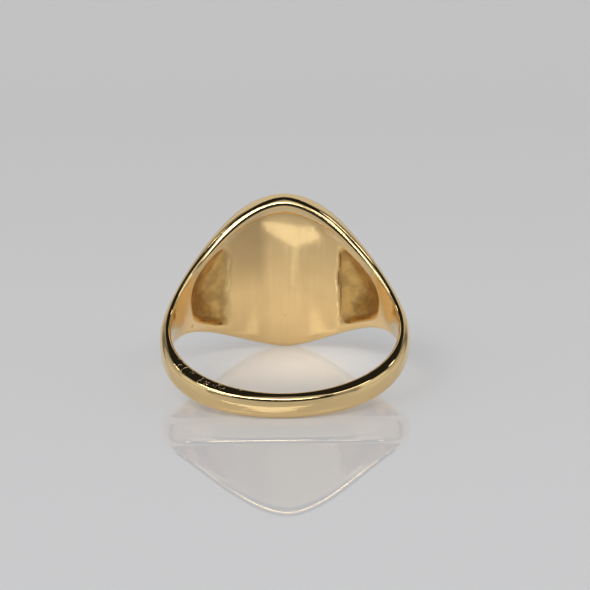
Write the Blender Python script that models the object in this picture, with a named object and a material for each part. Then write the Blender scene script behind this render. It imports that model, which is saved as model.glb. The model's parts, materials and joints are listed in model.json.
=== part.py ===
"""Signet ring: an oval table on a wide head, hollowed shoulders, half-round shank.

The ring is drawn in a jeweller's frame: the finger runs along Z through the origin, the
table faces +Y, and an angle is measured round the finger from +Y towards +X. A tilted
empty then lays the whole ring on its side, on the lower edge of its head and the lower
edge of its shank, with the underside at Z = 0 and the middle of its box at the origin.
"""
import math

import bmesh
import bpy
from mathutils import Matrix, Vector

MM = 0.001

# Driving dimensions of the ring.
FINGER_RADIUS = 9.5 * MM
TABLE_DISTANCE = 11.33 * MM         # finger axis to the flat of the table
TABLE_ANGLE = math.radians(27.3)    # half angle that the table covers round the finger
HEAD_HALF_HEIGHT = 7.47 * MM        # half the head's size along the finger
SHANK_HALF_WIDTH = 1.10 * MM
WIDTH_ANGLE = math.radians(47.35)   # how fast the head narrows into the shank
WIDTH_POWER = 1.805
SHANK_SIDE_THICKNESS = 0.93 * MM
SHANK_BACK_THICKNESS = 1.07 * MM
SHANK_SWELL = 0.31 * MM             # extra thickness half way from the sides to the back
SHOULDER_END_ANGLE = math.radians(79.6)
SHOULDER_POWER = 2.24               # how hollow the shoulders' sweep is

# Shape of the metal's cross-section.
SHANK_EDGE_RADIUS = 0.26 * MM       # rounding of the edge against the finger
HEAD_EDGE_RADIUS = 0.80 * MM
EDGE_FADE_POWER = 4                 # how fast the head's rounding fades into the shoulders
HEAD_SQUARENESS = 3.5               # 2 is an ellipse, more is nearer to a square
SHOULDER_SQUARENESS = 2.15
SHANK_SQUARENESS = 3.1
SQUARE_ANGLE = math.radians(34.0)   # the head's square section ends here
SHANK_SQUARE_START = math.radians(60.0)
SHANK_SQUARE_END = math.radians(100.0)
CORNER_SHARPNESS = 1.5              # how much squarer the swollen part of the shank is

# The head's inside opens out towards its edges, and ends in a narrow bevel.
FLARE_REACH = 3.8 * MM
FLARE_SLOPE = 0.088                 # where the rounding starts
BEVEL_WIDTH = 0.50 * MM
BEVEL_SLOPE = 0.285                 # where the rounding starts, on top of the flare's
BEVEL_ANGLE = math.radians(20.5)    # lean of the two slopes together
BEVEL_START = 0.88                  # lowest part of the edge's height where the bevel can begin
FLARE_FADE_ANGLE = math.radians(45.0)

# How the ring is divided for the bench: seam places, solder and fitting gaps.
HEAD_SEAM_ANGLE = math.radians(28.5)
SHANK_SEAM_ANGLE = math.radians(80.0)
TABLE_PLATE_THICKNESS = 0.9 * MM
SOLDER_THICKNESS = 0.10 * MM
FITTING_GAP = 0.03 * MM
TABLE_REACH_ANGLE = math.radians(42.0)   # beyond every point of the table plate
CUT_TOLERANCE = 1e-8

# Hollows in the shoulders.
HOLLOW_RIM = 1.35 * MM              # metal left between a hollow and the edge of the head
HOLLOW_END_ANGLE = math.radians(57.0)
HOLLOW_END_LENGTH = math.radians(9.0)    # stretch over which the hollow's end is rounded
HOLLOW_WALL = 0.80 * MM             # metal left between a hollow and the outside
HOLLOW_TABLE_CLEARANCE = 0.45 * MM  # metal left between a hollow and the table's solder
HOLLOW_CORNER = 0.45 * MM           # rounding of the hollow's cross-section
HOLLOW_CORNER_SHARE = 0.8           # most of the hollow's height or depth that it may take
HOLLOW_TIP_SHARE = 0.04             # part of the rounded end that is left off, so it isn't a point
HOLLOW_OVERRUN = 0.6 * MM           # how far the cutter stands into the finger hole

# Limits of the search for the lean at which the ring rests.
LEAST_TILT = math.radians(5.0)
MOST_TILT = math.radians(45.0)
TILT_HALVINGS = 60

# Fineness of the meshes.
STATION_STEP = math.radians(3.6)    # between sections round the finger
INNER_SHARES = (0.0, 0.5, 0.75)     # rows on the inside, as parts of the edge's height
EDGE_STEPS = 3
WALL_STEPS = 4                      # across the edge's wall
FACE_STEPS = 6                      # from the wall to the middle of the outside
WALL_SHARE = 0.75                   # part of the thickness that the wall takes
HOLLOW_STATIONS = 9                 # sections of a hollow's cutter
HOLLOW_CORNER_STEPS = 3
HOLLOW_CROWDING = 1.5               # above 1, stations crowd towards the hollow's end

# Colours and roughness of the metal.
POLISHED = (0.72, 0.50, 0.22, 1.0)
SATIN = (0.66, 0.45, 0.19, 1.0)
PALE = (0.74, 0.57, 0.32, 1.0)
POLISHED_ROUGHNESS = 0.15
SHOULDER_ROUGHNESS = 0.20
SOLDER_ROUGHNESS = 0.30
SATIN_ROUGHNESS = 0.32
SHARP_ANGLE = math.radians(35.0)    # edges steeper than this are shaded sharp


def ease(t):
    """Smooth step from 0 to 1."""
    t = min(max(t, 0.0), 1.0)
    return t * t * (3.0 - 2.0 * t)


def from_table(angle):
    """Angle between a place on the ring and the middle of the table, 0 to half a turn."""
    return abs((angle + math.pi) % (2.0 * math.pi) - math.pi)


def half_width(angle):
    """Half the ring's size along the finger at an angle round it."""
    bell = math.exp(-(from_table(angle) / WIDTH_ANGLE) ** WIDTH_POWER)
    return SHANK_HALF_WIDTH + (HEAD_HALF_HEIGHT - SHANK_HALF_WIDTH) * bell


def swelling(angle):
    """1 half way between the shank's sides and its back, fading to 0 at both."""
    behind = max(from_table(angle) - math.pi / 2.0, 0.0)
    return math.sin(2.0 * behind) ** 2


def outer_radius(angle):
    """Distance from the finger axis to the blank's outside, half way along the finger.

    Over the table the blank is a dome that runs on smoothly from the shoulders. The
    table is cut flat across it later.
    """
    angle = from_table(angle)
    thickening = ease((angle - math.pi / 2.0) / (math.pi / 2.0))
    shank = SHANK_SIDE_THICKNESS + (SHANK_BACK_THICKNESS - SHANK_SIDE_THICKNESS) * thickening
    shank += FINGER_RADIUS + SHANK_SWELL * swelling(angle)
    corner = TABLE_DISTANCE / math.cos(TABLE_ANGLE)
    sweep = SHOULDER_END_ANGLE - TABLE_ANGLE
    if angle < TABLE_ANGLE:
        slope = SHOULDER_POWER * (corner - shank) / sweep
        dome = slope * TABLE_ANGLE / 2.0
        return corner + dome * (1.0 - (angle / TABLE_ANGLE) ** 2)
    t = min((angle - TABLE_ANGLE) / sweep, 1.0)
    return shank + (corner - shank) * (1.0 - t) ** SHOULDER_POWER


def edge_radius(angle):
    """Rounding of the edge that touches the finger."""
    headness = max(math.cos(angle), 0.0) ** EDGE_FADE_POWER
    return SHANK_EDGE_RADIUS + (HEAD_EDGE_RADIUS - SHANK_EDGE_RADIUS) * headness


def squareness(angle):
    """Exponent of the outside's section: square at the head and shank, round between."""
    angle = from_table(angle)
    headness = ease(1.0 - angle / SQUARE_ANGLE)
    square = SHOULDER_SQUARENESS + (HEAD_SQUARENESS - SHOULDER_SQUARENESS) * headness
    shankness = ease((angle - SHANK_SQUARE_START) / (SHANK_SQUARE_END - SHANK_SQUARE_START))
    return square + (SHANK_SQUARENESS - square) * shankness


def flare(z, edge_z, amount):
    """How far the head's inside has opened out at a height, below where its edge begins."""
    rise = max(z - (edge_z - FLARE_REACH), 0.0)
    opened = FLARE_SLOPE / (2.0 * FLARE_REACH) * rise ** 2
    past = max(z - (edge_z - BEVEL_WIDTH), 0.0)
    bevelled = BEVEL_SLOPE / (2.0 * BEVEL_WIDTH) * past ** 2
    return amount * (opened + bevelled)


def half_section(angle):
    """(radius, z) from the middle of the inside, over the upper edge, to the middle outside."""
    height = half_width(angle)
    rounding = edge_radius(angle)
    opening = ease(1.0 - from_table(angle) / FLARE_FADE_ANGLE)
    bevel = BEVEL_ANGLE * opening
    edge_z = height - rounding * (1.0 - math.sin(bevel))
    centre = FINGER_RADIUS + flare(edge_z, edge_z, opening) + rounding * math.cos(bevel)
    reach = outer_radius(angle) - centre
    power = squareness(angle)
    corner = 2.0 + CORNER_SHARPNESS * swelling(angle)
    bevel_z = max(edge_z - BEVEL_WIDTH, BEVEL_START * edge_z)
    points = []
    for z in [share * edge_z for share in INNER_SHARES] + [bevel_z]:
        points.append((FINGER_RADIUS + flare(z, edge_z, opening), z))
    for i in range(EDGE_STEPS):
        turn = bevel + (math.pi / 2.0 - bevel) * i / EDGE_STEPS
        radius = centre - rounding * math.cos(turn)
        points.append((radius, height - rounding + rounding * math.sin(turn)))
    for i in range(WALL_STEPS):
        share = WALL_SHARE * i / WALL_STEPS
        points.append((centre + reach * share, height * (1.0 - share ** corner) ** (1.0 / power)))
    wall_end = (1.0 - WALL_SHARE ** corner) ** (1.0 / power)
    for i in range(FACE_STEPS + 1):
        share = wall_end * (1.0 - i / FACE_STEPS)
        radius = centre + reach * (1.0 - share ** power) ** (1.0 / corner)
        points.append((radius, height * share))
    return points


def section(angle):
    """Closed section at an angle, as points in the ring's own frame."""
    upper = half_section(angle)
    lower = [(radius, -z) for radius, z in reversed(upper[1:-1])]
    loop = []
    for radius, z in upper + lower:
        loop.append(Vector((radius * math.sin(angle), radius * math.cos(angle), z)))
    return loop


def loft(loops):
    """Closed body through a row of loops, with a flat cap on each end."""
    mesh = bmesh.new()
    rows = []
    for loop in loops:
        rows.append([mesh.verts.new(point) for point in loop])
    count = len(rows[0])
    for first, second in zip(rows, rows[1:]):
        for i in range(count):
            j = (i + 1) % count
            mesh.faces.new((first[i], first[j], second[j], second[i]))
    mesh.faces.new(list(reversed(rows[0])))
    mesh.faces.new(rows[-1])
    bmesh.ops.recalc_face_normals(mesh, faces=mesh.faces)
    return mesh


def ring_segment(start, end):
    """The ring's solid between two angles round the finger."""
    steps = max(1, round((end - start) / STATION_STEP))
    return loft([section(start + (end - start) * i / steps) for i in range(steps + 1)])


def cut_above(mesh, distance):
    """Remove what lies beyond a plane parallel to the table, and close the cut."""
    cut_flat(mesh, distance, Vector((0.0, 1.0, 0.0)))


def cut_below(mesh, distance):
    """Remove what lies on the finger's side of a plane parallel to the table."""
    cut_flat(mesh, distance, Vector((0.0, -1.0, 0.0)))


def cut_flat(mesh, distance, normal):
    geometry = list(mesh.verts) + list(mesh.edges) + list(mesh.faces)
    plane_point = Vector((0.0, distance, 0.0))
    result = bmesh.ops.bisect_plane(
        mesh, geom=geometry, dist=CUT_TOLERANCE, plane_co=plane_point, plane_no=normal, clear_outer=True
    )
    edges = [item for item in result["geom_cut"] if isinstance(item, bmesh.types.BMEdge)]
    bmesh.ops.edgeloop_fill(mesh, edges=edges)
    bmesh.ops.recalc_face_normals(mesh, faces=mesh.faces)


def hollow_section(angle, floor_limit):
    """Rounded rectangle that a shoulder's hollow takes at an angle."""
    past = max(from_table(angle) - (HOLLOW_END_ANGLE - HOLLOW_END_LENGTH), 0.0) / HOLLOW_END_LENGTH
    height = (half_width(angle) - HOLLOW_RIM) * math.sqrt(max(1.0 - past * past, 0.0))
    floor = min(outer_radius(angle) - HOLLOW_WALL, floor_limit / math.cos(angle))
    room = min(height, floor - FINGER_RADIUS)
    corner = min(HOLLOW_CORNER, HOLLOW_CORNER_SHARE * room)
    inside = FINGER_RADIUS - HOLLOW_OVERRUN
    outline = [(inside, height)]
    for i in range(HOLLOW_CORNER_STEPS + 1):
        turn = math.pi / 2.0 * i / HOLLOW_CORNER_STEPS
        radius = floor - corner + corner * math.sin(turn)
        outline.append((radius, height - corner + corner * math.cos(turn)))
    outline += [(radius, -z) for radius, z in reversed(outline)]
    loop = []
    for radius, z in outline:
        loop.append(Vector((radius * math.sin(angle), radius * math.cos(angle), z)))
    return loop


def hollow_cutter(side, start, floor_limit):
    """Body that a shoulder's hollow is cut with, on one side of the head."""
    end = HOLLOW_END_ANGLE - HOLLOW_TIP_SHARE * HOLLOW_END_LENGTH
    loops = []
    for i in range(HOLLOW_STATIONS + 1):
        share = i / HOLLOW_STATIONS
        angle = start + (end - start) * (1.0 - (1.0 - share) ** HOLLOW_CROWDING)
        loops.append(hollow_section(side * angle, floor_limit))
    return loft(loops)


def gold_material(name, colour, roughness):
    material = bpy.data.materials.new(name)
    material.use_nodes = True
    shader = material.node_tree.nodes["Principled BSDF"]
    shader.inputs["Base Color"].default_value = colour
    shader.inputs["Metallic"].default_value = 1.0
    shader.inputs["Roughness"].default_value = roughness
    material.diffuse_color = colour
    return material


def add_object(name, mesh, material, parent):
    """Turn a bmesh into a named, shaded object under the tilted empty."""
    data = bpy.data.meshes.new(name)
    mesh.to_mesh(data)
    mesh.free()
    data.shade_smooth()
    data.set_sharp_from_angle(angle=SHARP_ANGLE)
    if material is not None:
        data.materials.append(material)
    item = bpy.data.objects.new(name, data)
    item.parent = parent
    bpy.context.scene.collection.objects.link(item)
    return item


def add_cutter(item, name, mesh):
    """Cut a body out of an object with an exact Boolean."""
    cutter = add_object(name, mesh, None, item.parent)
    cutter.hide_render = True
    cutter.display_type = "WIRE"
    modifier = item.modifiers.new(name, "BOOLEAN")
    modifier.operation = "DIFFERENCE"
    modifier.solver = "EXACT"
    modifier.object = cutter
    return cutter


def lowest(points, tilt):
    """Height of the lowest of some points once the ring is tilted."""
    return min(point.y * math.sin(tilt) + point.z * math.cos(tilt) for point in points)


def resting_tilt(items):
    """Angle at which the head's and the shank's lower edges are level."""
    points = [vertex.co for item in items for vertex in item.data.vertices]
    head = [point for point in points if point.y > 0.0]
    shank = [point for point in points if point.y < 0.0]
    low, high = LEAST_TILT, MOST_TILT
    for _ in range(TILT_HALVINGS):
        middle = (low + high) / 2.0
        if lowest(head, middle) < lowest(shank, middle):
            low = middle
        else:
            high = middle
    return (low + high) / 2.0


def lay_on_side(frame, items):
    """Tilt the frame and set it down with the middle of its box at the origin."""
    tilt = resting_tilt(items)
    turn = Matrix.Rotation(tilt, 3, "X")
    points = [turn @ vertex.co for item in items for vertex in item.data.vertices]
    depths = [point.y for point in points]
    frame.rotation_euler = (tilt, 0.0, 0.0)
    frame.location = (0.0, -(min(depths) + max(depths)) / 2.0, -min(point.z for point in points))


def clear_scene():
    for item in list(bpy.data.objects):
        bpy.data.objects.remove(item, do_unlink=True)


def build_ring():
    clear_scene()
    frame = bpy.data.objects.new("ring_frame", None)
    bpy.context.scene.collection.objects.link(frame)

    # Heights of the table plate's underside, its solder and the metal below.
    plate_bottom = TABLE_DISTANCE - TABLE_PLATE_THICKNESS
    solder_top = plate_bottom - FITTING_GAP
    solder_bottom = solder_top - SOLDER_THICKNESS
    mount_top = solder_bottom - FITTING_GAP

    # Fitting gap and solder thickness as angles at the finger's radius.
    gap = FITTING_GAP / FINGER_RADIUS
    film = SOLDER_THICKNESS / FINGER_RADIUS
    solder_start = HEAD_SEAM_ANGLE + gap
    solder_end = solder_start + film
    shoulder_start = solder_end + gap
    shoulder_end = SHANK_SEAM_ANGLE - film / 2.0 - gap
    shank_start = SHANK_SEAM_ANGLE + film / 2.0 + gap

    items = []

    plate = ring_segment(-TABLE_REACH_ANGLE, TABLE_REACH_ANGLE)
    cut_above(plate, TABLE_DISTANCE)
    cut_below(plate, plate_bottom)
    material = gold_material("table_gold", POLISHED, POLISHED_ROUGHNESS)
    items.append(add_object("table_plate", plate, material, frame))

    table_solder = ring_segment(-TABLE_REACH_ANGLE, TABLE_REACH_ANGLE)
    cut_above(table_solder, solder_top)
    cut_below(table_solder, solder_bottom)
    material = gold_material("table_solder_gold", PALE, SOLDER_ROUGHNESS)
    items.append(add_object("table_solder", table_solder, material, frame))

    block = ring_segment(-HEAD_SEAM_ANGLE, HEAD_SEAM_ANGLE)
    cut_above(block, mount_top)
    material = gold_material("head_gold", SATIN, SATIN_ROUGHNESS)
    items.append(add_object("head_block", block, material, frame))

    floor_limit = mount_top - HOLLOW_TABLE_CLEARANCE
    for side, word in ((-1.0, "left"), (1.0, "right")):
        joint = ring_segment(*sorted((side * solder_start, side * solder_end)))
        cut_above(joint, mount_top)
        material = gold_material("head_solder_gold_" + word, PALE, SOLDER_ROUGHNESS)
        joint_item = add_object("head_solder_" + word, joint, material, frame)

        shoulder = ring_segment(*sorted((side * shoulder_start, side * shoulder_end)))
        cut_above(shoulder, mount_top)
        material = gold_material("shoulder_gold_" + word, POLISHED, SHOULDER_ROUGHNESS)
        shoulder_item = add_object("shoulder_" + word, shoulder, material, frame)

        cutter = hollow_cutter(side, HEAD_SEAM_ANGLE - gap, floor_limit)
        add_cutter(shoulder_item, "hollow_cutter_" + word, cutter.copy())
        add_cutter(joint_item, "solder_cutter_" + word, cutter)
        items += [joint_item, shoulder_item]

        seam = ring_segment(
            side * SHANK_SEAM_ANGLE - film / 2.0, side * SHANK_SEAM_ANGLE + film / 2.0
        )
        material = gold_material("shank_solder_gold_" + word, PALE, SOLDER_ROUGHNESS)
        items.append(add_object("shank_solder_" + word, seam, material, frame))

    shank = ring_segment(shank_start, 2.0 * math.pi - shank_start)
    material = gold_material("shank_gold", POLISHED, POLISHED_ROUGHNESS)
    items.append(add_object("shank", shank, material, frame))

    lay_on_side(frame, items)


build_ring()
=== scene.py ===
"""Looks of a plain gold signet ring that lies on its side on a glossy pale surface.

Every piece is drawn from the same few curves: the ring's half width, outer radius and edge
rounding round the finger. The pieces replace the frame's faceted solids one for one.
"""
import json
import math

import bmesh
import bpy
import numpy as np
from mathutils import Matrix, Vector


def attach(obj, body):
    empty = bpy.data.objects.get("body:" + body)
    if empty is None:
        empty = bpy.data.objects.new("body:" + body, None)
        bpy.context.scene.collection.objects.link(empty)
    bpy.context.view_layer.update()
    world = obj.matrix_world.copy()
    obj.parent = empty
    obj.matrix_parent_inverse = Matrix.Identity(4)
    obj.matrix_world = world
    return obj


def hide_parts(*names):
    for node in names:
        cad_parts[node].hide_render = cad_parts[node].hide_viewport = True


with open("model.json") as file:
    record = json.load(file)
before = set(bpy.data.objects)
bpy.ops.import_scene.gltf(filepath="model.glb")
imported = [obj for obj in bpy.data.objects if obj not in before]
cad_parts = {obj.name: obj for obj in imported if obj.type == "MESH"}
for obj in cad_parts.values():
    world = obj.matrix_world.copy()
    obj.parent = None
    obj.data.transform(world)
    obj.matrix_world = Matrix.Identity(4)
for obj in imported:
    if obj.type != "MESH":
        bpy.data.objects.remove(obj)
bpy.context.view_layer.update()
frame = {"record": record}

MM = 0.001
HALF_TURN = math.pi

# ---------------------------------------------------------------- the ring's dimensions
# These repeat the frame's driving dimensions. Angles are measured round the finger axis,
# from the middle of the table.
FINGER_RADIUS = 9.5 * MM
TABLE_DISTANCE = 11.33 * MM
TABLE_ANGLE = math.radians(27.3)
HEAD_HALF_HEIGHT = 7.47 * MM
SHANK_HALF_WIDTH = 1.10 * MM
WIDTH_ANGLE = math.radians(47.35)
WIDTH_POWER = 1.805
SHANK_SIDE_THICKNESS = 0.93 * MM
SHANK_BACK_THICKNESS = 1.07 * MM
SHANK_SWELL = 0.31 * MM
SHOULDER_END_ANGLE = math.radians(79.6)
SHOULDER_POWER = 2.24
SHANK_EDGE_RADIUS = 0.26 * MM
HEAD_EDGE_RADIUS = 0.80 * MM
EDGE_FADE_POWER = 4
HEAD_SQUARENESS = 3.5
SHOULDER_SQUARENESS = 2.15
SHANK_SQUARENESS = 3.1
CORNER_SHARPNESS = 1.5              # where the shank swells
SQUARE_ANGLE = math.radians(34.0)
SHANK_SQUARE_START = math.radians(60.0)
SHANK_SQUARE_END = math.radians(100.0)

# The head's inside opens out towards its edges, and ends in a narrow bevel.
FLARE_REACH = 3.8 * MM
FLARE_SLOPE = 0.088                 # at the bevel's end
BEVEL_WIDTH = 0.50 * MM
BEVEL_SLOPE = 0.285                 # on top of the flare's
BEVEL_ANGLE = math.radians(20.5)
FLARE_FADE_ANGLE = math.radians(45.0)

# Wear: the head sits a little skew, and the shank is fuller on its left.
SKEW = 0.027
SWELL_SHIFT = 0.30

# The shank's back is worn to a low crown that leans, and its lower edge is worn away.
BACK_START = math.radians(135.0)
BACK_FULL = math.radians(165.0)
BACK_FLATNESS = 1.5
CROWN_RADIUS = 14.0 * MM
CROWN_REACH = 0.8 * MM
CROWN_LEAN = 0.042
LOWER_EDGE_WEAR = 0.085 * MM
LOWER_EDGE_START = 0.45 * MM

# Painted shade in the hollows: darker brown towards their outer, lower corners and along their
# rims. The first two numbers also place the painted light on the shoulders.
OUTWARD_START = 5.9 * MM              # to either side of the middle
OUTWARD_LENGTH = 1.5 * MM
SHADE_DROP = 3.0 * OUTWARD_LENGTH
SHADE_TOP = 2.5 * MM
OUTER_SHADE = 0.5
CORNER_SHADE = 0.35
RIM_SHADE = 0.45
RIM_SHADE_REACH = 0.9 * MM

# Painted light that makes the inside paler on the shoulders and by the head's edge, and painted
# shade that darkens the head's inside towards its upper left.
SHOULDER_LIGHT = 0.55
EDGE_LIGHT = 0.3
EDGE_LIGHT_REACH = 1.25 * MM
EDGE_LIGHT_SOFTNESS = 0.5 * MM
LEFT_SHADE_START = 1.1 * MM
LEFT_SHADE_SOFTNESS = 1.2 * MM
LEFT_SHADE_LENGTHENING = 3.0              # softer along the finger than across it
LEFT_SHADE_LOW = -1.5 * MM
LEFT_SHADE_LEAST = 0.25

# Nicks round the shank's lower left.
WEAR_ANGLE = math.radians(-138.0)
WEAR_REACH = math.radians(34.0)

# Seams. Here the solder fills its joint, so neighbours meet with no gap.
HEAD_SEAM_ANGLE = math.radians(28.5)
SHANK_SEAM_ANGLE = math.radians(80.0)
JOINT_THICKNESS = 0.16 * MM
JOINT_ANGLE = JOINT_THICKNESS / FINGER_RADIUS
PLATE_BOTTOM = TABLE_DISTANCE - 0.9 * MM
MOUNT_TOP = PLATE_BOTTOM - JOINT_THICKNESS
TABLE_REACH_ANGLE = math.radians(38.0)
TABLE_EDGE_SOFTNESS = 0.07 * MM

# Hollows behind the shoulders: metal left above and below, reach round the finger, corner
# rounding and the width of the straight wall.
HOLLOWS = (
    {"side": -1.0, "upper": 0.95 * MM, "lower": 1.10 * MM, "start": math.radians(29.2),
     "end": math.radians(56.9), "corner": 0.72 * MM, "wall": 0.95 * MM},
    {"side": 1.0, "upper": 1.25 * MM, "lower": 1.05 * MM, "start": math.radians(27.9),
     "end": math.radians(56.2), "corner": 0.55 * MM, "wall": 0.42 * MM},
)
METAL_BEHIND = 0.70 * MM
METAL_UNDER_PLATE = 0.35 * MM
LEAST_COSINE = 0.3                  # keeps the plate's limit finite far from the table
HOLLOW_DEEPEST = 0.95 * MM
RIM_DEPTH_SHARE = 0.34              # of the depth, reached at once inside the rim
HOLLOW_BOWL = 1.7 * MM
HOLLOW_SLANT = 0.72                 # cosine of the upper and lower rims' slant
HOLLOW_LIP = 0.56 * MM
LIP_OUTSIDE = 0.5                   # shares of the lip and of the wall beyond the rim
WALL_OUTSIDE = 0.2

# The hollows' walls waver a little.
WAVE_SIZE = 0.08 * MM
WAVE_LENGTH = 0.9 * MM
RIPPLE_SIZE = 0.04 * MM
RIPPLE_LENGTH = 0.37 * MM
OUTER_WAVE_SHARE = 0.6

# Mesh fineness.
CELL = 0.10 * MM
MEAN_RADIUS = 10.0 * MM
LEAST_STEPS = 3
LEAST_INNER_COUNT = 8
EDGE_COUNT = 12
WALL_COUNT = 18
LEAST_FACE_COUNT = 14
FACE_FINENESS = 0.8
WALL_SHARE = 0.75                   # of the reach, where wall points give way to face points
CUT_TOLERANCE = 1e-8
SHARP_ANGLE = math.radians(40.0)


def ease(t):
    """Smooth step from 0 to 1."""
    t = np.clip(t, 0.0, 1.0)
    return t * t * (3.0 - 2.0 * t)


def from_table(angle):
    """Angle away from the middle of the table, the same on both sides."""
    return np.abs((angle + HALF_TURN) % (2.0 * HALF_TURN) - HALF_TURN)


def half_width(angle):
    """Half of the ring's width along the finger."""
    skewed = 1.0 - SKEW * np.sign(np.sin(angle))
    bell = np.exp(-(from_table(angle) / (WIDTH_ANGLE * skewed)) ** WIDTH_POWER)
    return SHANK_HALF_WIDTH + (HEAD_HALF_HEIGHT - SHANK_HALF_WIDTH) * bell


def shank_radius(angle):
    """Outer radius of the shank alone: thicker at the back, and swollen halfway to it."""
    behind = np.clip(from_table(angle) - HALF_TURN / 2.0, 0.0, HALF_TURN / 2.0)
    thickening = ease(behind / (HALF_TURN / 2.0))
    thickness = SHANK_SIDE_THICKNESS
    thickness = thickness + (SHANK_BACK_THICKNESS - SHANK_SIDE_THICKNESS) * thickening
    swell = SHANK_SWELL * (1.0 - SWELL_SHIFT * np.sign(np.sin(angle)))
    return FINGER_RADIUS + thickness + swell * np.sin(2.0 * behind) ** 2


def outer_radius(angle):
    """Outer radius, with a dome where the table will be cut flat."""
    shank = shank_radius(angle)
    angle = from_table(angle)
    corner = TABLE_DISTANCE / math.cos(TABLE_ANGLE)
    sweep = SHOULDER_END_ANGLE - TABLE_ANGLE
    dome = SHOULDER_POWER * (corner - shank) / sweep * TABLE_ANGLE / 2.0
    over_table = corner + dome * (1.0 - (angle / TABLE_ANGLE) ** 2)
    t = np.clip((angle - TABLE_ANGLE) / sweep, 0.0, 1.0)
    beside = shank + (corner - shank) * (1.0 - t) ** SHOULDER_POWER
    return np.where(angle < TABLE_ANGLE, over_table, beside)


def edge_radius(angle):
    """Rounding of the ring's inner edge: larger on the head."""
    headness = np.maximum(np.cos(angle), 0.0) ** EDGE_FADE_POWER
    return SHANK_EDGE_RADIUS + (HEAD_EDGE_RADIUS - SHANK_EDGE_RADIUS) * headness


def squareness(angle):
    """Exponent along the finger: more is a flatter outer face."""
    angle = from_table(angle)
    headness = ease(1.0 - angle / SQUARE_ANGLE)
    square = SHOULDER_SQUARENESS + (HEAD_SQUARENESS - SHOULDER_SQUARENESS) * headness
    shankness = ease((angle - SHANK_SQUARE_START) / (SHANK_SQUARE_END - SHANK_SQUARE_START))
    return square + (SHANK_SQUARENESS - square) * shankness + BACK_FLATNESS * backness(angle)


def backness(angle):
    """1 where the shank's back is worn flat, fading to 0 towards its sides."""
    return ease((from_table(angle) - BACK_START) / (BACK_FULL - BACK_START))


def worn_face(z, angle):
    """How much metal the shank's back has lost, which leaves a low, leaning crown."""
    lower_edge = LOWER_EDGE_WEAR * ease((-z - LOWER_EDGE_START) / LOWER_EDGE_START)
    z = CROWN_REACH * np.tanh(z / CROWN_REACH)
    return backness(angle) * (z ** 2 / (2.0 * CROWN_RADIUS) + CROWN_LEAN * z + lower_edge)


def sharpness(angle):
    """Exponent away from the finger: 2 is an ellipse, and more is a sharper corner."""
    behind = np.clip(from_table(angle) - HALF_TURN / 2.0, 0.0, HALF_TURN / 2.0)
    return 2.0 + CORNER_SHARPNESS * np.sin(2.0 * behind) ** 2


def flare(z, edge_z, amount):
    """How far the head's inside has opened out at a height, below where its edge begins."""
    rise = np.maximum(z - (edge_z - FLARE_REACH), 0.0)
    opened = FLARE_SLOPE / (2.0 * FLARE_REACH) * rise ** 2
    past = np.maximum(z - (edge_z - BEVEL_WIDTH), 0.0)
    bevelled = BEVEL_SLOPE / (2.0 * BEVEL_WIDTH) * past ** 2
    return amount * (opened + bevelled)


def smooth_minimum(values, softness):
    """Smallest of several arrays, with rounded changeovers."""
    total = sum(np.exp(-value / softness) for value in values)
    return -softness * np.log(total)


def hollow_depth(angle, z):
    """How far the inside is sunk at a place, and how much it is in a hollow or by its rim."""
    depth = np.zeros(np.broadcast(angle, z).shape)
    inside = np.zeros_like(depth)
    margin = np.zeros_like(depth)
    around = FINGER_RADIUS * from_table(angle)
    height = half_width(angle)
    full = outer_radius(angle) - METAL_BEHIND - FINGER_RADIUS
    limit = (MOUNT_TOP - METAL_UNDER_PLATE) / np.maximum(np.cos(angle), LEAST_COSINE)
    limit = limit - FINGER_RADIUS
    floor = np.clip(np.minimum(full, limit), 0.0, HOLLOW_DEEPEST)
    for hollow in HOLLOWS:
        wave = WAVE_SIZE * np.sin(z / WAVE_LENGTH + hollow["side"])
        wave = wave + RIPPLE_SIZE * np.sin(z / RIPPLE_LENGTH)
        start = around - FINGER_RADIUS * hollow["start"] + wave
        others = smooth_minimum(
            (
                (height - hollow["upper"] - z) * HOLLOW_SLANT,
                (height - hollow["lower"] + z) * HOLLOW_SLANT,
                FINGER_RADIUS * hollow["end"] - around + OUTER_WAVE_SHARE * wave,
            ),
            hollow["corner"],
        )
        half_corner = hollow["corner"] / 2.0
        distance = smooth_minimum((start, others), half_corner)
        round_corner = smooth_minimum((start + half_corner, others), hollow["corner"])
        here = ease(round_corner / HOLLOW_LIP + LIP_OUTSIDE)
        here = here * ease(start / hollow["wall"] + WALL_OUTSIDE)
        here = here * (np.sin(angle) * hollow["side"] > 0.0)
        bowl = RIM_DEPTH_SHARE + (1.0 - RIM_DEPTH_SHARE) * ease(distance / HOLLOW_BOWL)
        depth = np.maximum(depth, floor * bowl * here)
        inside = np.maximum(inside, here)
        margin = np.maximum(margin, here * ease(1.0 - distance / RIM_SHADE_REACH))
    return depth, inside, margin


def section_counts(widest):
    """Points along a half section: inside, edge rounding, edge wall and outside."""
    inner_count = max(LEAST_INNER_COUNT, round(widest / CELL))
    face_count = max(LEAST_FACE_COUNT, round(widest / CELL * FACE_FINENESS))
    return inner_count, EDGE_COUNT, WALL_COUNT, face_count


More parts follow.
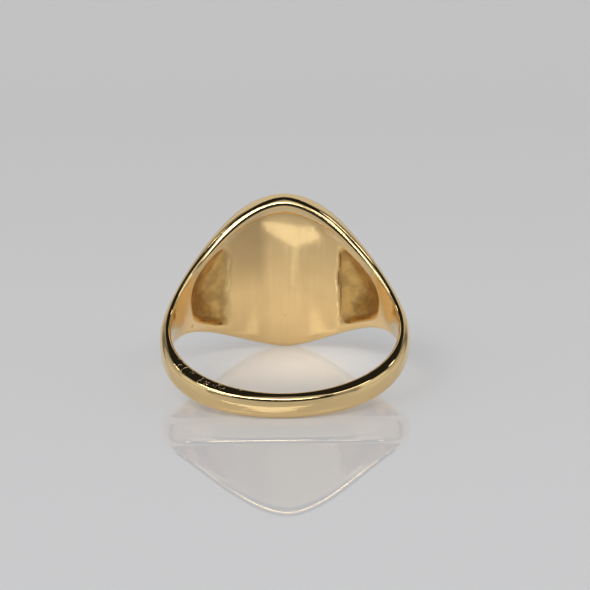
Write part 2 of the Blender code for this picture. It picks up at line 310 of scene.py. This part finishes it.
def half_section(angle, counts):
    """Radius and z along a half section, one row for each angle, and which are outside."""
    inner_count, edge_count, wall_count, face_count = counts
    angle = angle[:, None]
    height = half_width(angle)
    rounding = edge_radius(angle)
    fade = ease(1.0 - from_table(angle) / FLARE_FADE_ANGLE)
    bevel = BEVEL_ANGLE * fade
    edge_z = height - rounding * (1.0 - np.sin(bevel))
    centre = FINGER_RADIUS + flare(edge_z, edge_z, fade) + rounding * np.cos(bevel)
    reach = outer_radius(angle) - centre
    power = squareness(angle)
    corner = sharpness(angle)

    share = np.linspace(0.0, 1.0, inner_count, endpoint=False)[None, :]
    inner_z = edge_z * share
    inner_r = FINGER_RADIUS + flare(inner_z, edge_z, fade)

    turn = np.linspace(0.0, 1.0, edge_count, endpoint=False)[None, :]
    turn = bevel + (HALF_TURN / 2.0 - bevel) * turn
    rounded_r = centre - rounding * np.cos(turn)
    rounded_z = height - rounding + rounding * np.sin(turn)

    share = np.linspace(0.0, WALL_SHARE, wall_count, endpoint=False)[None, :]
    wall_r = centre + reach * share
    wall_z = height * (1.0 - share ** corner) ** (1.0 / power)

    start = (1.0 - WALL_SHARE ** corner) ** (1.0 / power)
    share = start * np.linspace(1.0, 0.0, face_count + 1)[None, :]
    face_r = centre + reach * (1.0 - share ** power) ** (1.0 / corner)
    face_z = height * share

    radius = np.concatenate([inner_r, rounded_r, wall_r, face_r], axis=1)
    z = np.concatenate([inner_z, rounded_z, wall_z, face_z], axis=1)
    outer = np.zeros(radius.shape[1])
    outer[inner_count:] = 1.0
    return radius, z, outer


def wear(angle):
    """How nicked the shank is at an angle: most at its lower left."""
    away = np.abs((angle - WEAR_ANGLE + HALF_TURN) % (2.0 * HALF_TURN) - HALF_TURN)
    return ease(1.0 - away / WEAR_REACH)


def left_shade(x, z):
    """How much painted shade darkens the head's inside: most towards its upper left."""
    across = ease((-x - LEFT_SHADE_START) / LEFT_SHADE_SOFTNESS)
    along = ease((z - LEFT_SHADE_LOW) / LEFT_SHADE_SOFTNESS / LEFT_SHADE_LENGTHENING)
    return across * (LEFT_SHADE_LEAST + (1.0 - LEFT_SHADE_LEAST) * along)


def hollow_shade(x, z, margin):
    """How much painted shade browns the hollows: darkest in their outer, lower corners and along
    their rims.
    """
    outward = ease((np.abs(x) - OUTWARD_START) / OUTWARD_LENGTH)
    downward = ease((SHADE_TOP - z) / SHADE_DROP)
    return OUTER_SHADE * outward + CORNER_SHADE * outward * downward + RIM_SHADE * margin


def painted_light(x, z, angle):
    """How much painted light makes the inside paler: on the shoulders and by the head's edge."""
    outward = ease((np.abs(x) - OUTWARD_START) / OUTWARD_LENGTH)
    edge = ease((z - half_width(angle) + EDGE_LIGHT_REACH) / EDGE_LIGHT_SOFTNESS)
    return np.maximum(SHOULDER_LIGHT * outward, EDGE_LIGHT * edge)


def flatten_table(y):
    """Cut the dome flat at the table, with a slightly rounded edge."""
    low = TABLE_DISTANCE - TABLE_EDGE_SOFTNESS
    high = TABLE_DISTANCE + TABLE_EDGE_SOFTNESS
    blend = y - (y - low) ** 2 / (4.0 * TABLE_EDGE_SOFTNESS)
    return np.where(y < low, y, np.where(y > high, TABLE_DISTANCE, blend))


def ring_segment(start, end):
    """Closed mesh of the ring between two angles, with the finger along Z and the table on +Y."""
    steps = round((end - start) * MEAN_RADIUS / CELL)
    angles = np.linspace(start, end, max(LEAST_STEPS, steps + 1))
    counts = section_counts(float(half_width(angles).max()))
    radius, z, outer = half_section(angles, counts)
    radius = np.concatenate([radius, radius[:, -2:0:-1]], axis=1)
    z = np.concatenate([z, -z[:, -2:0:-1]], axis=1)
    outer = np.concatenate([outer, outer[-2:0:-1]])
    outwards = ease((radius - FINGER_RADIUS) / SHANK_EDGE_RADIUS - 1.0)
    radius = radius - worn_face(z, angles[:, None]) * outwards
    depth, hollowed, margin = hollow_depth(angles[:, None], z)
    inward = (1.0 - outer)[None, :]
    radius = radius + depth * inward
    x = radius * np.sin(angles)[:, None]
    y = flatten_table(radius * np.cos(angles)[:, None])

    worn_here = wear(angles)
    # Painted shade on the head's inside, darker towards its upper left.
    left_shade_here = left_shade(x, z)
    flat_here = y > TABLE_DISTANCE - TABLE_EDGE_SOFTNESS / 2.0
    # Painted shade in the hollows' outer, lower corners and along their rims.
    hollow_shade_here = hollow_shade(x, z, margin)
    # Painted light: the inside paler on the shoulders and by the head's edge.
    painted_light_here = painted_light(x, z, angles[:, None])

    mesh = bmesh.new()
    polish = mesh.verts.layers.float.new("polish")
    sunk = mesh.verts.layers.float.new("sunk")
    worn = mesh.verts.layers.float.new("worn")
    left_shaded = mesh.verts.layers.float.new("left_shaded")
    flat = mesh.verts.layers.float.new("flat")
    hollow_shaded = mesh.verts.layers.float.new("hollow_shaded")
    pale = mesh.verts.layers.float.new("pale")
    rows = []
    for i in range(len(angles)):
        row = []
        for j in range(z.shape[1]):
            vertex = mesh.verts.new((x[i, j], y[i, j], z[i, j]))
            vertex[polish] = outer[j]
            vertex[sunk] = hollowed[i, j] * inward[0, j]
            vertex[worn] = worn_here[i] * outer[j]
            vertex[left_shaded] = left_shade_here[i, j]
            vertex[flat] = float(flat_here[i, j])
            vertex[hollow_shaded] = hollow_shade_here[i, j]
            vertex[pale] = painted_light_here[i, j]
            row.append(vertex)
        rows.append(row)
    count = len(rows[0])
    for first, second in zip(rows, rows[1:]):
        for j in range(count):
            k = (j + 1) % count
            mesh.faces.new((first[j], first[k], second[k], second[j]))
    mesh.faces.new(list(reversed(rows[0])))
    mesh.faces.new(rows[-1])
    bmesh.ops.recalc_face_normals(mesh, faces=mesh.faces)
    return mesh


def keep_between(mesh, low, high):
    """Keep what lies between two planes parallel to the table, and close the cuts."""
    for distance, sign in ((high, 1.0), (low, -1.0)):
        if distance is None:
            continue
        geometry = list(mesh.verts) + list(mesh.edges) + list(mesh.faces)
        result = bmesh.ops.bisect_plane(
            mesh,
            geom=geometry,
            dist=CUT_TOLERANCE,
            plane_co=Vector((0.0, distance, 0.0)),
            plane_no=Vector((0.0, sign, 0.0)),
            clear_outer=True,
        )
        edges = [item for item in result["geom_cut"] if isinstance(item, bmesh.types.BMEdge)]
        bmesh.ops.edgeloop_fill(mesh, edges=edges)
    bmesh.ops.recalc_face_normals(mesh, faces=mesh.faces)
    return mesh


# ---------------------------------------------------------------- where the ring lies
def ring_placement():
    """Tilt, and where the finger's middle and axis are, from the record's table mount."""
    mount = next(m for m in frame["record"]["mounts"] if m["name"] == "table_face")
    axis = Vector(mount["axis"])
    tilt = math.atan2(axis.z, axis.y)
    origin = Vector(mount["pos_m"]) - axis * TABLE_DISTANCE
    return tilt, Matrix.Translation(origin) @ Matrix.Rotation(tilt, 4, "X")


TILT, PLACEMENT = ring_placement()


# ---------------------------------------------------------------- gold
# One gold for all the pieces, the solder too: its joints are polished over.
POLISHED_COLOUR = (0.93, 0.69, 0.345, 1.0)
SATIN_COLOUR = (1.0, 0.735, 0.36, 1.0)
SATIN_TARNISH = (0.93, 0.665, 0.315, 1.0)
SATIN_BRUSHED = (0.84, 0.61, 0.30, 1.0)
# Painted shade for the upper left of the head's inside.
SATIN_SHADED = (0.70, 0.495, 0.24, 1.0)
# Painted light: paler satin on the shoulders and by the head's edge.
SATIN_LIT = (0.98, 0.80, 0.52, 1.0)
HOLLOW_COLOUR = (0.79, 0.525, 0.18, 1.0)
# Dark tarnish, which also paints the shade in the hollows' corners and along their rims.
HOLLOW_TARNISH_AND_SHADE = (0.44, 0.265, 0.10, 1.0)
POLISHED_ROUGHNESS = 0.045
SATIN_ROUGHNESS = 0.07
HOLLOW_ROUGHNESS = 0.38

# Noises: cells to the millimetre, stretch along the ring's own axes, and detail.
EVEN = (1.0, 1.0, 1.0)
BLOTCHES = (0.45, EVEN, 4.0)
MOTTLE = (0.8, EVEN, 4.0)
BRUSH_MARKS = (2.4, (1.0, 1.0, 0.07), 3.0)
SPECKS = (1.25, EVEN, 3.0)
HAZE = (1.1, EVEN, 4.0)
STREAKS = (5.0, (1.0, 1.0, 0.06), 3.0)
WAVES = (0.55, EVEN, 2.0)
HAIRLINES = (9.0, (0.12, 0.12, 1.0), 2.0)
BRUSHING = (7.0, (1.0, 1.0, 0.05), 3.0)
DENTS = (2.6, EVEN, 1.0)
GRAIN = (2.2, EVEN, 4.0)
NOISE_ROUGHNESS = 0.55

# Where each noise starts to show, and where it shows fully.
BLOTCH_LIMITS = (0.42, 0.68)
MOTTLE_LIMITS = (0.36, 0.66)
BRUSH_MARK_LIMITS = (0.42, 0.70)
SPECK_LIMITS = (0.69, 0.77)
HAZE_LIMITS = (0.45, 0.75)
STREAK_LIMITS = (0.3, 0.7)
DENT_LIMITS = (0.60, 0.72)

# How much each one does to the colour or the roughness.
BLOTCH_SHARE = 0.5
BRUSH_MARK_SHARE = 0.17
SPECK_SHARE = 0.45
MOTTLE_SHARE = 0.62
# The next share is for the painted shade in the hollows.
HOLLOW_SHADE_SHARE = 0.7
HAZE_ROUGHNESS = 0.035
STREAK_ROUGHNESS = 0.05

# Relief: height and strength.
WAVE_RELIEF = (0.10 * MM, 0.12)
HAIRLINE_RELIEF = (0.010 * MM, 0.25)
BRUSHING_RELIEF = (0.012 * MM, 0.5)
DENT_RELIEF = (0.025 * MM, 0.7)
GRAIN_RELIEF = (0.14 * MM, 0.35)
TABLE_CALM = 0.8                    # how much flatter the table is than the curved outside


class Nodes:
    """Short words for building a node tree."""

    def __init__(self, tree):
        self.tree = tree

    def new(self, kind, inputs=None, **settings):
        item = self.tree.nodes.new(kind)
        for name, value in settings.items():
            setattr(item, name, value)
        for name, value in (inputs or {}).items():
            self.feed(item.inputs[name], value)
        return item

    def feed(self, socket, value):
        if isinstance(value, bpy.types.NodeSocket):
            self.tree.links.new(value, socket)
        else:
            socket.default_value = value

    def maths(self, operation, *values):
        item = self.new("ShaderNodeMath", operation=operation)
        for socket, value in zip(item.inputs, values):
            self.feed(socket, value)
        return item.outputs[0]

    def spread(self, value, low, high, to_low=0.0, to_high=1.0, kind="SMOOTHSTEP"):
        """Map a value between two limits to another pair of limits."""
        item = self.new(
            "ShaderNodeMapRange",
            {
                "Value": value,
                "From Min": low,
                "From Max": high,
                "To Min": to_low,
                "To Max": to_high,
            },
            interpolation_type=kind,
        )
        return item.outputs["Result"]

    def mix_colour(self, factor, first, second):
        item = self.new("ShaderNodeMix", data_type="RGBA")
        self.feed(item.inputs["Factor"], factor)
        colours = [socket for socket in item.inputs if socket.type == "RGBA"]
        self.feed(colours[0], first)
        self.feed(colours[1], second)
        return next(socket for socket in item.outputs if socket.type == "RGBA")

    def mix_value(self, factor, first, second):
        item = self.new("ShaderNodeMix", data_type="FLOAT")
        self.feed(item.inputs["Factor"], factor)
        numbers = [socket for socket in item.inputs if socket.type == "VALUE"]
        self.feed(numbers[1], first)
        self.feed(numbers[2], second)
        return next(socket for socket in item.outputs if socket.type == "VALUE")

    def attribute(self, name):
        """A value that the ring's vertices carry."""
        return self.new("ShaderNodeAttribute", attribute_name=name).outputs["Fac"]

    def noise(self, scale, stretch, detail):
        """Noise in the ring's own frame; scale is cells to the millimetre."""
        place = self.new("ShaderNodeTexCoord").outputs["Object"]
        turned = self.new(
            "ShaderNodeVectorRotate", {"Vector": place, "Angle": -TILT}, rotation_type="X_AXIS"
        )
        size = tuple(scale * share / MM for share in stretch)
        mapping = self.new("ShaderNodeMapping", {"Vector": turned.outputs[0], "Scale": size})
        item = self.new(
            "ShaderNodeTexNoise",
            {
                "Vector": mapping.outputs[0],
                "Scale": 1.0,
                "Detail": detail,
                "Roughness": NOISE_ROUGHNESS,
            },
        )
        return item.outputs["Fac"]

    def bump(self, height, relief, where, normal=None):
        """Relief of a height and strength, as strong as a place asks for."""
        distance, most = relief
        strength = self.maths("MULTIPLY", where, most)
        item = self.new(
            "ShaderNodeBump", {"Height": height, "Distance": distance, "Strength": strength}
        )
        if normal is not None:
            self.feed(item.inputs["Normal"], normal)
        return item.outputs["Normal"]


def inner_colour(nodes):
    """Satin with tarnish, brush marks and brown specks, painted shade at its upper left, painted
    light on the shoulders and by the edge, and browner hollows with painted shade in their
    corners and along their rims.
    """
    blotches = nodes.spread(nodes.noise(*BLOTCHES), *BLOTCH_LIMITS)
    tarnish = nodes.maths("MULTIPLY", blotches, BLOTCH_SHARE)
    satin = nodes.mix_colour(tarnish, SATIN_COLOUR, SATIN_TARNISH)
    marks = nodes.spread(nodes.noise(*BRUSH_MARKS), *BRUSH_MARK_LIMITS, 0.0, BRUSH_MARK_SHARE)
    satin = nodes.mix_colour(marks, satin, SATIN_BRUSHED)
    # Painted shade at the upper left of the head's inside.
    satin = nodes.mix_colour(nodes.attribute("left_shaded"), satin, SATIN_SHADED)
    # Painted light on the shoulders and by the head's edge.
    satin = nodes.mix_colour(nodes.attribute("pale"), satin, SATIN_LIT)
    specks = nodes.spread(nodes.noise(*SPECKS), *SPECK_LIMITS, 0.0, SPECK_SHARE)
    satin = nodes.mix_colour(specks, satin, HOLLOW_TARNISH_AND_SHADE)
    mottle = nodes.spread(nodes.noise(*MOTTLE), *MOTTLE_LIMITS)
    mottle = nodes.maths("MULTIPLY", mottle, MOTTLE_SHARE)
    # Painted shade in the hollows' corners and along their rims, on top of the tarnish.
    hollow_shaded = nodes.maths("MULTIPLY", nodes.attribute("hollow_shaded"), HOLLOW_SHADE_SHARE)
    tarnish_and_shade = nodes.maths("ADD", mottle, hollow_shaded)
    hollow = nodes.mix_colour(tarnish_and_shade, HOLLOW_COLOUR, HOLLOW_TARNISH_AND_SHADE)
    return nodes.mix_colour(nodes.attribute("sunk"), satin, hollow)


def gold_roughness(nodes, inside):
    """Finger wear outside, brushing inside, and casting skin in the hollows."""
    haze = nodes.spread(nodes.noise(*HAZE), *HAZE_LIMITS, 0.0, HAZE_ROUGHNESS)
    outer = nodes.maths("ADD", POLISHED_ROUGHNESS, haze)
    streaks = nodes.spread(
        nodes.noise(*STREAKS), *STREAK_LIMITS, -STREAK_ROUGHNESS, STREAK_ROUGHNESS
    )
    inner = nodes.maths("ADD", SATIN_ROUGHNESS, streaks)
    inner = nodes.mix_value(nodes.attribute("sunk"), inner, HOLLOW_ROUGHNESS)
    return nodes.mix_value(inside, outer, inner)


def gold_relief(nodes, inside):
    """Waviness, hairlines and nicks outside, and brush lines and casting grain inside."""
    sunk = nodes.attribute("sunk")
    calm = nodes.maths("MULTIPLY", nodes.attribute("flat"), TABLE_CALM)
    curved = nodes.maths("SUBTRACT", nodes.attribute("polish"), calm)
    brushed = nodes.maths("MULTIPLY", inside, nodes.maths("SUBTRACT", 1.0, sunk))
    dents = nodes.spread(nodes.noise(*DENTS), *DENT_LIMITS)
    normal = nodes.bump(nodes.noise(*WAVES), WAVE_RELIEF, curved)
    normal = nodes.bump(nodes.noise(*HAIRLINES), HAIRLINE_RELIEF, curved, normal)
    normal = nodes.bump(nodes.noise(*BRUSHING), BRUSHING_RELIEF, brushed, normal)
    normal = nodes.bump(dents, DENT_RELIEF, nodes.attribute("worn"), normal)
    return nodes.bump(nodes.noise(*GRAIN), GRAIN_RELIEF, sunk, normal)


def gold_material(name):
    """Yellow gold: polished outside, satin inside with painted light and shade, and rough and
    tarnished in the hollows, with painted shade in their corners.
    """
    material = bpy.data.materials.new(name)
    material.use_nodes = True
    nodes = Nodes(material.node_tree)
    shader = material.node_tree.nodes["Principled BSDF"]
    shader.inputs["Metallic"].default_value = 1.0
    inside = nodes.maths("SUBTRACT", 1.0, nodes.attribute("polish"))
    colour = nodes.mix_colour(inside, POLISHED_COLOUR, inner_colour(nodes))
    nodes.feed(shader.inputs["Base Color"], colour)
    nodes.feed(shader.inputs["Roughness"], gold_roughness(nodes, inside))
    nodes.feed(shader.inputs["Normal"], gold_relief(nodes, inside))
    return material


def add_piece(name, node_name, mesh, material):
    """Place a finished mesh in the frame as the piece that stands for a CAD node."""
    data = bpy.data.meshes.new(name)
    mesh.to_mesh(data)
    mesh.free()
    data.transform(PLACEMENT)
    data.shade_smooth()
    data.set_sharp_from_angle(angle=SHARP_ANGLE)
    data.materials.append(material)
    piece = bpy.data.objects.new(name, data)
    bpy.context.scene.collection.objects.link(piece)
    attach(piece, "root")
    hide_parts(node_name)
    return piece


def side_segment(side, near, far):
    """Part of the ring on one side of the table, between two angles from its middle."""
    return ring_segment(*sorted((side * near, side * far)))


def add_table(gold):
    """The oval plate, and the solder under it."""
    reach = TABLE_REACH_ANGLE
    plate = keep_between(ring_segment(-reach, reach), PLATE_BOTTOM, None)
    add_piece("gold_table_plate", "table_plate", plate, gold)
    film = keep_between(ring_segment(-reach, reach), MOUNT_TOP, PLATE_BOTTOM)
    add_piece("gold_table_solder", "table_solder", film, gold)


def add_head_block(gold):
    """The thick middle of the head, between the two hollows."""
    block = keep_between(ring_segment(-HEAD_SEAM_ANGLE, HEAD_SEAM_ANGLE), None, MOUNT_TOP)
    add_piece("gold_head_block", "head_block", block, gold)


def add_shoulder(side, word, gold):
    """One shoulder, hollowed behind, and the solder at its head."""
    inner_end = HEAD_SEAM_ANGLE + JOINT_ANGLE
    film = keep_between(side_segment(side, HEAD_SEAM_ANGLE, inner_end), None, MOUNT_TOP)
    add_piece("gold_head_solder_" + word, "head_solder_" + word, film, gold)
    outer_end = SHANK_SEAM_ANGLE - JOINT_ANGLE / 2.0
    shoulder = keep_between(side_segment(side, inner_end, outer_end), None, MOUNT_TOP)
    add_piece("gold_shoulder_" + word, "shoulder_" + word, shoulder, gold)


def add_shank_solder(side, word, gold):
    """The solder between one shoulder and the shank."""
    near = SHANK_SEAM_ANGLE - JOINT_ANGLE / 2.0
    film = side_segment(side, near, SHANK_SEAM_ANGLE + JOINT_ANGLE / 2.0)
    add_piece("gold_shank_solder_" + word, "shank_solder_" + word, film, gold)


def add_shank(gold):
    """The slim band, from one shoulder round the back to the other."""
    start = SHANK_SEAM_ANGLE + JOINT_ANGLE / 2.0
    shank = ring_segment(start, 2.0 * HALF_TURN - start)
    add_piece("gold_shank", "shank", shank, gold)


def build_ring():
    """The ten pieces, each cut from the same curves."""
    gold = gold_material("polished_gold")
    add_table(gold)
    add_head_block(gold)
    for side, word in ((-1.0, "left"), (1.0, "right")):
        add_shoulder(side, word, gold)
        add_shank_solder(side, word, gold)
    add_shank(gold)


# ---------------------------------------------------------------- floor, light and camera
FLOOR_HALF_SIZE = 1.5
FLOOR_COLOUR = (0.60, 0.60, 0.612, 1.0)
FLOOR_ROUGHNESS = 0.02
GLOW_COLOUR = (1.0, 1.0, 1.02, 1.0)
GLOW_NEAR = -80.0 * MM
GLOW_FAR = 100.0 * MM
GLOW_NEAR_STRENGTH = 0.232
GLOW_FAR_STRENGTH = 0.138
CAUSTIC_X = 1.0 * MM
CAUSTIC_Y = 4.5 * MM
CAUSTIC_REACH = 9.0 * MM
CAUSTIC_STRENGTH = 0.175
CAUSTIC_COLOUR = (1.0, 0.88, 0.72, 1.0)


def light_the_floor(nodes, shader):
    """Glow of the back-lit acrylic, and the warm light that the head's inside throws on it."""
    place = nodes.new("ShaderNodeTexCoord").outputs["Object"]
    part = nodes.new("ShaderNodeSeparateXYZ", {"Vector": place}).outputs
    glow = nodes.spread(
        part["Y"], GLOW_NEAR, GLOW_FAR, GLOW_NEAR_STRENGTH, GLOW_FAR_STRENGTH, "LINEAR"
    )
    offset = nodes.new(
        "ShaderNodeVectorMath", {0: place, 1: (CAUSTIC_X, CAUSTIC_Y, 0.0)}, operation="DISTANCE"
    )
    thrown = nodes.spread(offset.outputs["Value"], 0.0, CAUSTIC_REACH, CAUSTIC_STRENGTH, 0.0)
    warm = nodes.maths("DIVIDE", thrown, nodes.maths("ADD", thrown, glow))
    colour = nodes.mix_colour(warm, GLOW_COLOUR, CAUSTIC_COLOUR)
    nodes.feed(shader.inputs["Emission Color"], colour)
    nodes.feed(shader.inputs["Emission Strength"], nodes.maths("ADD", glow, thrown))


def build_floor():
    """A wide sheet of glossy acrylic, at the height that the ring lies on."""
    mesh = bmesh.new()
    bmesh.ops.create_grid(mesh, x_segments=1, y_segments=1, size=FLOOR_HALF_SIZE)
    data = bpy.data.meshes.new("floor")
    mesh.to_mesh(data)
    mesh.free()
    floor = bpy.data.objects.new("floor", data)
    bpy.context.scene.collection.objects.link(floor)
    material = bpy.data.materials.new("floor_acrylic")
    material.use_nodes = True
    shader = material.node_tree.nodes["Principled BSDF"]
    shader.inputs["Base Color"].default_value = FLOOR_COLOUR
    shader.inputs["Roughness"].default_value = FLOOR_ROUGHNESS
    light_the_floor(Nodes(material.node_tree), shader)
    data.materials.append(material)


# Directions of the light are in degrees: bearings from the camera's side towards the ring's
# right, and heights above the horizon. Pairs are where something starts and where it ends.
FRONT_HEIGHTS = (0.0, 15.0)
FRONT_STRENGTHS = (0.42, 0.02)
FRONT_EDGE = (52.0, 64.0)
BACKDROP_HEIGHTS = (8.0, 22.0)
BACKDROP_STRENGTHS = (0.50, 0.60)
BACKDROP_EDGE = (130.0, 146.0)
BACKDROP_TOP = (44.0, 52.0)
WALL_BEARINGS = (61.0, 131.0)
WALL_EDGE_SOFTNESS = 5.0
WALL_TOP = (38.0, 47.0)
WALL_HEIGHTS = (5.0, 40.0)
WALL_STRENGTHS = (0.50, 0.34)
FILL_BEARINGS = (36.0, 96.0)
FILL_BEARING_SOFTNESS = 5.0
FILL_HEIGHTS = (14.0, 49.0)
FILL_HEIGHT_SOFTNESS = 2.0
FILL_STRENGTH = 0.30
ROOM_STRENGTH = 0.015

# The overhead panel fades towards the zenith.
OVERHEAD_BEARINGS = (-34.0, 40.0)
OVERHEAD_HEIGHTS = (50.5, 89.0)
OVERHEAD_SOFTNESS = 2.0
OVERHEAD_STRENGTH = 1.3
OVERHEAD_START = 50.0
OVERHEAD_FADE = 17.0

# Strip lights and lamps: bearings, heights, softness and strength.
LEFT_STRIP = ((-82.0, -34.0), (49.0, 57.0), 2.0, 4.4)
RIGHT_STRIP = ((38.0, 82.0), (49.0, 54.5), 1.5, 3.6)
LEFT_LAMP = ((-118.0, -109.0), (43.0, 47.0), 1.0, 5.0)
RIGHT_LAMP = ((112.0, 120.0), (46.0, 51.0), 1.0, 4.0)

# The kite-shaped soft box.
KITE_BEARING = -15.0
KITE_TOP = 49.0
KITE_RIGHT_CURVE = 0.0047
KITE_LEFT_SLOPE = 0.25
KITE_BOTTOM = 43.2
KITE_BOTTOM_CURVE = 0.0015
KITE_BOTTOM_LEAN = 0.09
KITE_SOFTNESS = 0.3
KITE_LEFT_END = (-50.0, -44.0)
KITE_RIGHT_END = (55.0, 62.0)
KITE_STRENGTH = 9.0


def band(nodes, value, limits, soft):
    """1 between two limits and 0 outside them, with soft edges."""
    low, high = limits
    rising = nodes.spread(value, low - soft, low + soft)
    falling = nodes.spread(value, high - soft, high + soft, 1.0, 0.0)
    return nodes.maths("MULTIPLY", rising, falling)


def panel(nodes, sky, bearings, heights, soft, strength):
    """A panel of light between two bearings and two heights."""
    bearing, height = sky
    across = band(nodes, bearing, bearings, soft)
    area = nodes.maths("MULTIPLY", across, band(nodes, height, heights, soft))
    return nodes.maths("MULTIPLY", area, strength)


def low_front(nodes, aside, height):
    """The room on the camera's side: pale low down, and dark above."""
    strength = nodes.spread(height, *FRONT_HEIGHTS, *FRONT_STRENGTHS)
    return nodes.maths("MULTIPLY", strength, nodes.spread(aside, *FRONT_EDGE, 1.0, 0.0))


def backdrop(nodes, aside, height):
    """The pale backdrop: all round the far side, up to about half height."""
    strength = nodes.spread(height, *BACKDROP_HEIGHTS, *BACKDROP_STRENGTHS)
    across = nodes.spread(aside, *BACKDROP_EDGE)
    area = nodes.maths("MULTIPLY", across, nodes.spread(height, *BACKDROP_TOP, 1.0, 0.0))
    return nodes.maths("MULTIPLY", strength, area)


def overhead(nodes, sky):
    """A broad panel above the front, brightest at its lower edge."""
    fall = nodes.maths("SUBTRACT", OVERHEAD_START, sky[1])
    fall = nodes.maths("EXPONENT", nodes.maths("DIVIDE", fall, OVERHEAD_FADE))
    strength = nodes.maths("MULTIPLY", fall, OVERHEAD_STRENGTH)
    return panel(nodes, sky, OVERHEAD_BEARINGS, OVERHEAD_HEIGHTS, OVERHEAD_SOFTNESS, strength)


def side_walls(nodes, aside, height):
    """The walls at both sides, a little darker towards their tops."""
    across = band(nodes, aside, WALL_BEARINGS, WALL_EDGE_SOFTNESS)
    area = nodes.maths("MULTIPLY", across, nodes.spread(height, *WALL_TOP, 1.0, 0.0))
    return nodes.maths("MULTIPLY", area, nodes.spread(height, *WALL_HEIGHTS, *WALL_STRENGTHS))


def side_fill(nodes, aside, height):
    """A dim fill beside the front, on both sides."""
    across = band(nodes, aside, FILL_BEARINGS, FILL_BEARING_SOFTNESS)
    along = band(nodes, height, FILL_HEIGHTS, FILL_HEIGHT_SOFTNESS)
    return nodes.maths("MULTIPLY", nodes.maths("MULTIPLY", across, along), FILL_STRENGTH)


def soft_box(nodes, sky):
    """A kite-shaped soft box: one corner at its top, and a lower edge that falls to its ends."""
    bearing, height = sky
    off = nodes.maths("SUBTRACT", bearing, KITE_BEARING)
    square = nodes.maths("MULTIPLY", off, off)
    fall = nodes.maths("MULTIPLY", square, KITE_RIGHT_CURVE)
    right_edge = nodes.maths("SUBTRACT", KITE_TOP, fall)
    left_edge = nodes.maths("ADD", KITE_TOP, nodes.maths("MULTIPLY", off, KITE_LEFT_SLOPE))
    top = nodes.maths("MINIMUM", right_edge, left_edge)
    leftward = nodes.maths("MAXIMUM", nodes.maths("MULTIPLY", off, -1.0), 0.0)
    curve = nodes.maths("MULTIPLY", square, KITE_BOTTOM_CURVE)
    fall = nodes.maths("ADD", curve, nodes.maths("MULTIPLY", leftward, KITE_BOTTOM_LEAN))
    bottom = nodes.maths("SUBTRACT", KITE_BOTTOM, fall)
    edge = (-KITE_SOFTNESS, KITE_SOFTNESS)
    under = nodes.spread(nodes.maths("SUBTRACT", top, height), *edge)
    over = nodes.spread(nodes.maths("SUBTRACT", height, bottom), *edge)
    ends = nodes.maths(
        "MULTIPLY",
        nodes.spread(off, *KITE_LEFT_END),
        nodes.spread(off, *KITE_RIGHT_END, 1.0, 0.0),
    )
    area = nodes.maths("MULTIPLY", nodes.maths("MULTIPLY", under, over), ends)
    return nodes.maths("MULTIPLY", area, KITE_STRENGTH)


def build_world():
    """A pale backdrop behind, dimmer walls at the sides, and panels above a dark front."""
    world = bpy.data.worlds.new("studio")
    bpy.context.scene.world = world
    world.use_nodes = True
    nodes = Nodes(world.node_tree)
    direction = nodes.new("ShaderNodeTexCoord").outputs["Generated"]
    part = nodes.new("ShaderNodeSeparateXYZ", {"Vector": direction}).outputs
    height = nodes.maths("DEGREES", nodes.maths("ARCSINE", part["Z"]))
    forward = nodes.maths("MULTIPLY", part["Y"], -1.0)
    bearing = nodes.maths("DEGREES", nodes.maths("ARCTAN2", part["X"], forward))
    aside = nodes.maths("ABSOLUTE", bearing)
    sky = (bearing, height)
    layers = [
        low_front(nodes, aside, height),
        backdrop(nodes, aside, height),
        overhead(nodes, sky),
        soft_box(nodes, sky),
        panel(nodes, sky, *LEFT_STRIP),
        panel(nodes, sky, *RIGHT_STRIP),
        side_walls(nodes, aside, height),
        side_fill(nodes, aside, height),
        panel(nodes, sky, *LEFT_LAMP),
        panel(nodes, sky, *RIGHT_LAMP),
    ]
    total = ROOM_STRENGTH
    for layer in layers:
        total = nodes.maths("ADD", layer, total)
    background = world.node_tree.nodes["Background"]
    nodes.feed(background.inputs["Strength"], total)
    background.inputs["Color"].default_value = (1.0, 1.0, 1.0, 1.0)


CAMERA_DISTANCE = 300.0 * MM
CAMERA_ABOVE_SHANK = math.radians(33.03)             # above the plane of the shank
CAMERA_HEIGHT_ANGLE = CAMERA_ABOVE_SHANK - TILT      # above the floor
CAMERA_TURN = math.radians(-0.49)
CAMERA_ROLL = math.radians(-0.82)
FOCAL_LENGTH = 219.7                # this and the sensor are in millimetres
SENSOR_WIDTH = 36.0
CLIP_START = 10.0 * MM
AIM_RIGHT = 0.892 * MM
AIM_UP = 1.819 * MM
PIVOT_HEIGHT = 1.891 * MM           # above the middle of the finger hole


def build_camera():
    """A long lens from in front of the shank, a little above the ring."""
    middle = PLACEMENT.translation
    pivot = Vector((0.0, middle.y, middle.z + PIVOT_HEIGHT))
    turn = Matrix.Rotation(-CAMERA_TURN, 3, "Z")
    back = turn @ Vector((0.0, -math.cos(CAMERA_HEIGHT_ANGLE), math.sin(CAMERA_HEIGHT_ANGLE)))
    position = pivot + back * CAMERA_DISTANCE
    right = Vector((0.0, 0.0, 1.0)).cross(back).normalized()
    up = back.cross(right)
    aim = pivot + right * AIM_RIGHT + up * AIM_UP
    look = (position - aim).normalized()
    right = up.cross(look).normalized()
    up = look.cross(right)
    rotation = Matrix((right, up, look)).transposed()
    camera_data = bpy.data.cameras.new("camera")
    camera_data.lens = FOCAL_LENGTH
    camera_data.sensor_width = SENSOR_WIDTH
    camera_data.clip_start = CLIP_START
    camera = bpy.data.objects.new("camera", camera_data)
    bpy.context.scene.collection.objects.link(camera)
    roll = Matrix.Rotation(CAMERA_ROLL, 3, "Z")
    camera.matrix_world = Matrix.Translation(position) @ (rotation @ roll).to_4x4()
    bpy.context.scene.camera = camera


build_camera()
build_floor()
build_world()
build_ring()
bpy.context.scene.view_settings.view_transform = "Standard"
